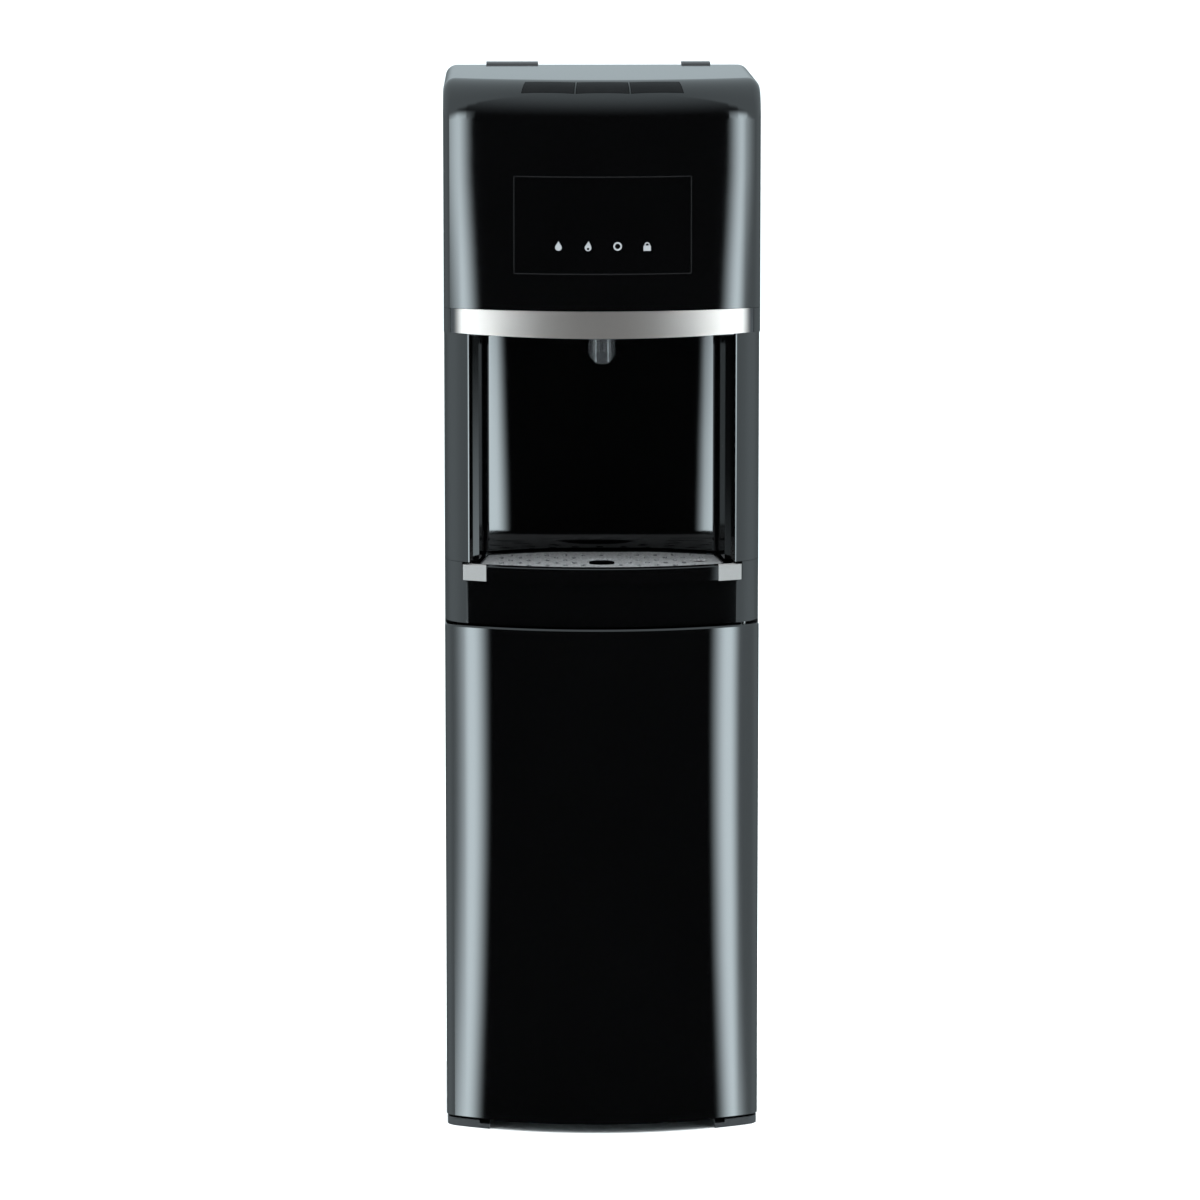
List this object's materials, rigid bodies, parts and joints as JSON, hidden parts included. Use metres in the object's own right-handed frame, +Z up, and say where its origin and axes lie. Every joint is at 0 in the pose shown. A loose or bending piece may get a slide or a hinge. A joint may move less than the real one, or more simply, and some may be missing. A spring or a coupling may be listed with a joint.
{
  "type": "bottom-load water dispenser",
  "caption": "Tall floor-standing water dispenser: bowed door over a bottle compartment, open alcove with spouts and drip tray, and a rounded head with display and push keys.",
  "frame": {"origin": "middle of the footprint at floor level", "axes": "+Z up, front towards -Y, +X to the right seen from the front"},
  "size_m": [0.31, 0.36, 1.042],
  "materials": {
    "gloss_black": "gloss",
    "display_glass": "gloss",
    "key_black": "satin",
    "satin_black": "satin",
    "painted_black": "satin",
    "galvanised": "satin",
    "satin_silver": "brushed",
    "smoked": "gloss",
    "icon_white": "matte",
    "board_green": "satin",
    "steel": "brushed",
    "grey_plastic": "satin",
    "liner_grey": "satin",
    "white_plastic": "satin",
    "foam": "matte",
    "rubber": "matte",
    "silicone": "satin",
    "compressor_black": "gloss",
    "coil_black": "satin",
    "rocker_red": "gloss",
    "rocker_green": "gloss",
    "magnet": "matte"
  },
  "bodies": {
    "cabinet": {"base_pan": "satin_black", "corner_feet": "satin_black", "left_side_panel": "painted_black", "right_side_panel": "painted_black", "rear_panel": "painted_black", "top_cover": "gloss_black", "wall_spacer_left": "satin_black", "wall_spacer_right": "satin_black", "mid_deck": "galvanised", "tank_shelf": "galvanised", "upper_fascia": "gloss_black", "key_switches": "board_green", "display_window": "display_glass", "display_icons": "icon_white", "display_board": "board_green", "trim_band": "satin_silver", "side_columns": "gloss_black", "alcove_liner": "gloss_black", "nozzle_hood": "smoked", "water_spouts": "steel", "solenoid_valves": "white_plastic", "spout_hoses": "silicone", "tray_housing": "gloss_black", "lower_hinge_bush": "white_plastic", "upper_hinge_bracket": "galvanised", "catch_plate": "steel", "compartment_liner": "liner_grey", "probe_holder": "grey_plastic", "suction_hose": "silicone", "water_pump": "satin_black", "feed_hose": "silicone", "hot_tank": "steel", "cold_tank": "steel", "cold_tank_insulation": "foam", "compressor": "compressor_black", "compressor_grommets": "rubber", "condenser_coil": "coil_black", "condenser_wires": "coil_black", "condenser_brackets": "satin_black", "switch_plate": "satin_black", "drain_outlets": "white_plastic", "cord_gland": "rubber", "panel_screws": "steel"},
    "door": {"door_outer_shell": "gloss_black", "door_inner_liner": "satin_black", "door_hinge_pins": "steel", "door_magnet": "magnet"},
    "hot_key": {"hot_key": "key_black"},
    "room_key": {"room_key": "key_black"},
    "cold_key": {"cold_key": "key_black"},
    "tray": {"drip_tray": "gloss_black", "tray_trim_ends": "satin_silver"},
    "grille": {"drip_grille": "grey_plastic"},
    "float": {"level_float": "rocker_red"},
    "probe": {"probe_cap": "grey_plastic", "probe_tube": "white_plastic"},
    "hot_switch": {"hot_rocker": "rocker_red"},
    "cold_switch": {"cold_rocker": "rocker_green"},
    "hot_cap": {"hot_drain_cap": "satin_black"},
    "cold_cap": {"cold_drain_cap": "satin_black"}
  },
  "joints": [
    {"name": "door_hinge", "type": "hinge", "parent": "cabinet", "child": "door", "pos_m": [0.139, -0.12716, 0], "axis": [0, 0, 1], "range_deg": [0, 110]},
    {"name": "hot_key_push", "type": "slide", "parent": "cabinet", "child": "hot_key", "axis": [0.0928, 0.5066, -0.8572], "range_m": [0, 0.0025], "stiffness_N_per_m": 500, "springref_m": -0.001},
    {"name": "room_key_push", "type": "slide", "parent": "cabinet", "child": "room_key", "axis": [0, 0.515, -0.8572], "range_m": [0, 0.0025], "stiffness_N_per_m": 500, "springref_m": -0.001},
    {"name": "cold_key_push", "type": "slide", "parent": "cabinet", "child": "cold_key", "axis": [-0.0928, 0.5066, -0.8572], "range_m": [0, 0.0025], "stiffness_N_per_m": 500, "springref_m": -0.001},
    {"name": "tray_slide", "type": "slide", "parent": "cabinet", "child": "tray", "axis": [0, -1, 0], "range_m": [0, 0.12]},
    {"name": "grille_lift", "type": "slide", "parent": "tray", "child": "grille", "axis": [0, 0, 1], "range_m": [0, 0.05]},
    {"name": "float_rise", "type": "slide", "parent": "tray", "child": "float", "axis": [0, 0, 1], "range_m": [0, 0.005]},
    {"name": "probe_lift", "type": "slide", "parent": "cabinet", "child": "probe", "axis": [0, 0, 1], "range_m": [0, 0.04], "deforming": ["suction_hose"]},
    {"name": "hot_switch_rock", "type": "hinge", "parent": "cabinet", "child": "hot_switch", "pos_m": [-0.112, 0.1495, 0.972], "axis": [1, 0, 0], "range_deg": [0, 16]},
    {"name": "cold_switch_rock", "type": "hinge", "parent": "cabinet", "child": "cold_switch", "pos_m": [-0.082, 0.1495, 0.972], "axis": [1, 0, 0], "range_deg": [0, 16]},
    {"name": "hot_cap_pull", "type": "slide", "parent": "cabinet", "child": "hot_cap", "axis": [0, 1, 0], "range_m": [0, 0.03]},
    {"name": "cold_cap_pull", "type": "slide", "parent": "cabinet", "child": "cold_cap", "axis": [0, 1, 0], "range_m": [0, 0.03]}
  ]
}
